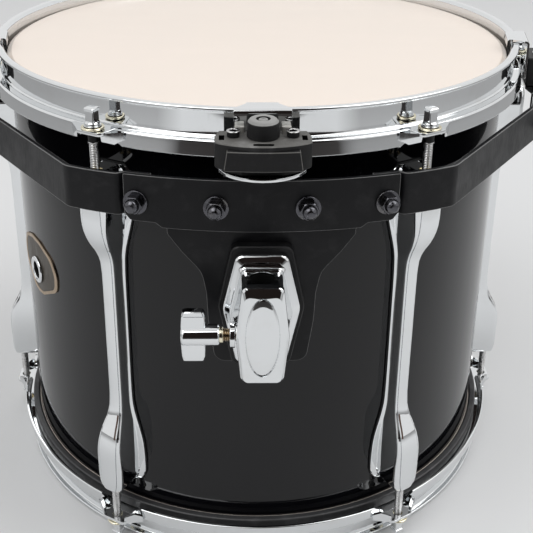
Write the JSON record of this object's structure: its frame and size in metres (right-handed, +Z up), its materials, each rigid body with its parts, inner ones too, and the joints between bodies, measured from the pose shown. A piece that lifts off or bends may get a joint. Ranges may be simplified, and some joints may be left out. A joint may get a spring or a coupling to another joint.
{
  "type": "tom-tom",
  "caption": "Rack tom drum with clear heads, chromed hoops, full-length lugs, tension rods and a hoop-hung holder mount with a wing bolt.",
  "frame": {"origin": "centre of the bounding box, on the plane of the lower rim", "axes": "+Z up along the drum's axis, from the resonant head to the batter head; -Y towards the holder bracket; +X to the right as seen from the bracket's side"},
  "size_m": [0.4226, 0.4292, 0.3238],
  "materials": {
    "lacquer": "high-gloss black lacquer on wood",
    "chrome": "polished chrome plate, lightly aged",
    "film": "clear polyester film",
    "flesh_hoop": "dull grey",
    "rod_steel": "bright plated steel",
    "badge": "dark bronze",
    "vent": "polished",
    "band_paint": "satin black",
    "bolt_nickel": "black nickel",
    "moulding": "satin black",
    "rubber": "matt black",
    "shoe": "bare brass"
  },
  "bodies": {
    "drum": {"shell": "lacquer", "batter_hoop": "chrome", "batter_head": "film", "batter_flesh_hoop": "flesh_hoop", "resonant_hoop": "chrome", "resonant_head": "film", "resonant_flesh_hoop": "flesh_hoop", "lug_1": "chrome", "lug_2": "chrome", "lug_3": "chrome", "lug_4": "chrome", "lug_5": "chrome", "lug_6": "chrome", "badge": "badge", "air_vent": "vent", "mount_centre_plate": "band_paint", "mount_tongue": "band_paint", "mount_wing_left": "band_paint", "mount_wing_right": "band_paint", "mount_bolt_1": "bolt_nickel", "mount_bolt_2": "bolt_nickel", "mount_bolt_3": "bolt_nickel", "mount_bolt_4": "bolt_nickel", "mount_bolt_5": "bolt_nickel", "mount_bolt_6": "bolt_nickel", "grip_body": "moulding", "grip_hook": "chrome", "grip_knob": "rubber", "grip_post_left": "rod_steel", "grip_post_right": "rod_steel", "grip_isolator": "rubber", "grip_lower_plate": "chrome", "clip_left_hook": "chrome", "clip_left_body": "moulding", "clip_left_bracket": "chrome", "clip_right_hook": "chrome", "clip_right_body": "moulding", "clip_right_bracket": "chrome", "bracket_gasket": "rubber", "bracket_base_plate": "chrome", "bracket_housing": "chrome", "bracket_cover": "chrome", "bracket_boss": "chrome"},
    "batter_rod_1": {"batter_rod_1": "rod_steel"},
    "batter_rod_2": {"batter_rod_2": "rod_steel"},
    "batter_rod_3": {"batter_rod_3": "rod_steel"},
    "batter_rod_4": {"batter_rod_4": "rod_steel"},
    "batter_rod_5": {"batter_rod_5": "rod_steel"},
    "batter_rod_6": {"batter_rod_6": "rod_steel"},
    "resonant_rod_1": {"resonant_rod_1": "rod_steel"},
    "resonant_rod_2": {"resonant_rod_2": "rod_steel"},
    "resonant_rod_3": {"resonant_rod_3": "rod_steel"},
    "resonant_rod_4": {"resonant_rod_4": "rod_steel"},
    "resonant_rod_5": {"resonant_rod_5": "rod_steel"},
    "resonant_rod_6": {"resonant_rod_6": "rod_steel"},
    "clamp_shoe": {"clamp_shoe": "shoe"},
    "wing_bolt": {"wing_bolt": "chrome"}
  },
  "joints": [
    {"name": "batter_rod_1_turn", "type": "hinge", "parent": "drum", "child": "batter_rod_1", "pos_m": [0.0972, -0.1445, 0.3043], "axis": [0, 0, 1], "continuous": true},
    {"name": "batter_rod_2_turn", "type": "hinge", "parent": "drum", "child": "batter_rod_2", "pos_m": [0.1944, 0.02385, 0.3043], "axis": [0, 0, 1], "continuous": true},
    {"name": "batter_rod_3_turn", "type": "hinge", "parent": "drum", "child": "batter_rod_3", "pos_m": [0.0972, 0.1922, 0.3043], "axis": [0, 0, 1], "continuous": true},
    {"name": "batter_rod_4_turn", "type": "hinge", "parent": "drum", "child": "batter_rod_4", "pos_m": [-0.0972, 0.1922, 0.3043], "axis": [0, 0, 1], "continuous": true},
    {"name": "batter_rod_5_turn", "type": "hinge", "parent": "drum", "child": "batter_rod_5", "pos_m": [-0.1944, 0.02385, 0.3043], "axis": [0, 0, 1], "continuous": true},
    {"name": "batter_rod_6_turn", "type": "hinge", "parent": "drum", "child": "batter_rod_6", "pos_m": [-0.0972, -0.1445, 0.3043], "axis": [0, 0, 1], "continuous": true},
    {"name": "resonant_rod_1_turn", "type": "hinge", "parent": "drum", "child": "resonant_rod_1", "pos_m": [0.0972, -0.1445, 0.0177], "axis": [0, 0, -1], "continuous": true},
    {"name": "resonant_rod_2_turn", "type": "hinge", "parent": "drum", "child": "resonant_rod_2", "pos_m": [0.1944, 0.02385, 0.0177], "axis": [0, 0, -1], "continuous": true},
    {"name": "resonant_rod_3_turn", "type": "hinge", "parent": "drum", "child": "resonant_rod_3", "pos_m": [0.0972, 0.1922, 0.0177], "axis": [0, 0, -1], "continuous": true},
    {"name": "resonant_rod_4_turn", "type": "hinge", "parent": "drum", "child": "resonant_rod_4", "pos_m": [-0.0972, 0.1922, 0.0177], "axis": [0, 0, -1], "continuous": true},
    {"name": "resonant_rod_5_turn", "type": "hinge", "parent": "drum", "child": "resonant_rod_5", "pos_m": [-0.1944, 0.02385, 0.0177], "axis": [0, 0, -1], "continuous": true},
    {"name": "resonant_rod_6_turn", "type": "hinge", "parent": "drum", "child": "resonant_rod_6", "pos_m": [-0.0972, -0.1445, 0.0177], "axis": [0, 0, -1], "continuous": true},
    {"name": "clamp_slide", "type": "slide", "parent": "drum", "child": "clamp_shoe", "axis": [1, 0, 0], "range_m": [-0.002, 0.0045]},
    {"name": "wing_bolt_turn", "type": "hinge", "parent": "clamp_shoe", "child": "wing_bolt", "pos_m": [-0.0127, -0.19505, 0.1972], "axis": [1, 0, 0], "range_deg": [-576, 1296]}
  ],
  "couplings": [
    {"joint": "wing_bolt_turn", "follows": "clamp_slide", "rad_per_m": 5026.5}
  ]
}
